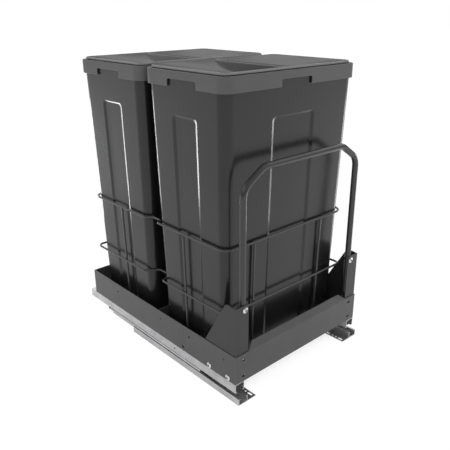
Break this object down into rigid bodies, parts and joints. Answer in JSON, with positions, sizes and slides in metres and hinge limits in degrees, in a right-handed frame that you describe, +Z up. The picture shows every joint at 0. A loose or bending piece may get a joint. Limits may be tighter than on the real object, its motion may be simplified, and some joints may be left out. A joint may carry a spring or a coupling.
{
  "type": "pull out bin frame",
  "caption": "Floor mounted pull out waste frame: a steel tray on ball slides with an arch handle and a wire basket that holds a pair of lift-out bins with drop-in lids.",
  "frame": {"origin": "middle of the overall box on the cabinet floor, frame pushed in", "axes": "+X to the right seen from the front, +Y to the back of the cabinet, +Z up; the frame pulls out along -Y"},
  "size_m": [0.3526, 0.511, 0.574],
  "materials": {
    "zinc_plated_steel": "rolled sheet, clear zinc plated, satin",
    "black_plastic": "moulded, matt",
    "cage_steel": "stamped sheet, greased",
    "ball_steel": "polished",
    "powder_coated_sheet": "fine textured powder coat, satin",
    "powder_coated_wire": "smooth powder coat, satin",
    "bright_zinc_screw": "bright zinc plated",
    "bin_plastic": "moulded, semi gloss",
    "lid_plastic": "moulded, semi matt"
  },
  "bodies": {
    "cabinet_rails": {"cabinet_rail_left": "zinc_plated_steel", "cabinet_rail_right": "zinc_plated_steel", "cabinet_stops": "black_plastic"},
    "lower_cage_left": {"lower_cage_left": "cage_steel", "lower_balls_left": "ball_steel"},
    "lower_cage_right": {"lower_cage_right": "cage_steel", "lower_balls_right": "ball_steel"},
    "middle_rail_left": {"middle_rail_left": "zinc_plated_steel", "middle_stop_left": "black_plastic"},
    "middle_rail_right": {"middle_rail_right": "zinc_plated_steel", "middle_stop_right": "black_plastic"},
    "upper_cage_left": {"upper_cage_left": "cage_steel", "upper_balls_left": "ball_steel"},
    "upper_cage_right": {"upper_cage_right": "cage_steel", "upper_balls_right": "ball_steel"},
    "drawer": {"drawer_rail_left": "zinc_plated_steel", "drawer_rail_right": "zinc_plated_steel", "rail_plugs": "black_plastic", "side_panel_left": "powder_coated_sheet", "side_panel_right": "powder_coated_sheet", "front_panel": "powder_coated_sheet", "rear_panel": "powder_coated_sheet", "cross_member": "powder_coated_sheet", "corner_post_left": "powder_coated_sheet", "corner_post_right": "powder_coated_sheet", "arch_handle": "powder_coated_wire", "rail_screws": "bright_zinc_screw", "post_screws": "bright_zinc_screw", "member_screws": "bright_zinc_screw", "arch_screws": "bright_zinc_screw", "arch_nuts": "bright_zinc_screw", "upper_hoop": "powder_coated_wire", "lower_hoop": "powder_coated_wire", "cross_wire_front": "powder_coated_wire", "cross_wire_rear": "powder_coated_wire", "long_wire_left": "powder_coated_wire", "long_wire_right": "powder_coated_wire"},
    "bin_front": {"bin_front": "bin_plastic"},
    "bin_rear": {"bin_rear": "bin_plastic"},
    "lid_front": {"lid_front": "lid_plastic"},
    "lid_rear": {"lid_rear": "lid_plastic"}
  },
  "joints": [
    {"name": "drawer_slide", "type": "slide", "parent": "cabinet_rails", "child": "drawer", "axis": [0, -1, 0], "range_m": [0, 0.45]},
    {"name": "middle_rail_slide_left", "type": "slide", "parent": "cabinet_rails", "child": "middle_rail_left", "axis": [0, -1, 0], "range_m": [0, 0.225]},
    {"name": "lower_cage_slide_left", "type": "slide", "parent": "cabinet_rails", "child": "lower_cage_left", "axis": [0, -1, 0], "range_m": [0, 0.1125]},
    {"name": "upper_cage_slide_left", "type": "slide", "parent": "cabinet_rails", "child": "upper_cage_left", "axis": [0, -1, 0], "range_m": [0, 0.3375]},
    {"name": "middle_rail_slide_right", "type": "slide", "parent": "cabinet_rails", "child": "middle_rail_right", "axis": [0, -1, 0], "range_m": [0, 0.225]},
    {"name": "lower_cage_slide_right", "type": "slide", "parent": "cabinet_rails", "child": "lower_cage_right", "axis": [0, -1, 0], "range_m": [0, 0.1125]},
    {"name": "upper_cage_slide_right", "type": "slide", "parent": "cabinet_rails", "child": "upper_cage_right", "axis": [0, -1, 0], "range_m": [0, 0.3375]},
    {"name": "bin_lift_front", "type": "slide", "parent": "drawer", "child": "bin_front", "axis": [0, 0, 1], "range_m": [0, 0.3]},
    {"name": "lid_lift_front", "type": "slide", "parent": "bin_front", "child": "lid_front", "axis": [0, 0, 1], "range_m": [0, 0.12]},
    {"name": "bin_lift_rear", "type": "slide", "parent": "drawer", "child": "bin_rear", "axis": [0, 0, 1], "range_m": [0, 0.3]},
    {"name": "lid_lift_rear", "type": "slide", "parent": "bin_rear", "child": "lid_rear", "axis": [0, 0, 1], "range_m": [0, 0.12]}
  ],
  "couplings": [
    {"joint": "middle_rail_slide_left", "follows": "drawer_slide", "ratio": 0.5},
    {"joint": "lower_cage_slide_left", "follows": "drawer_slide", "ratio": 0.25},
    {"joint": "upper_cage_slide_left", "follows": "drawer_slide", "ratio": 0.75},
    {"joint": "middle_rail_slide_right", "follows": "drawer_slide", "ratio": 0.5},
    {"joint": "lower_cage_slide_right", "follows": "drawer_slide", "ratio": 0.25},
    {"joint": "upper_cage_slide_right", "follows": "drawer_slide", "ratio": 0.75}
  ]
}
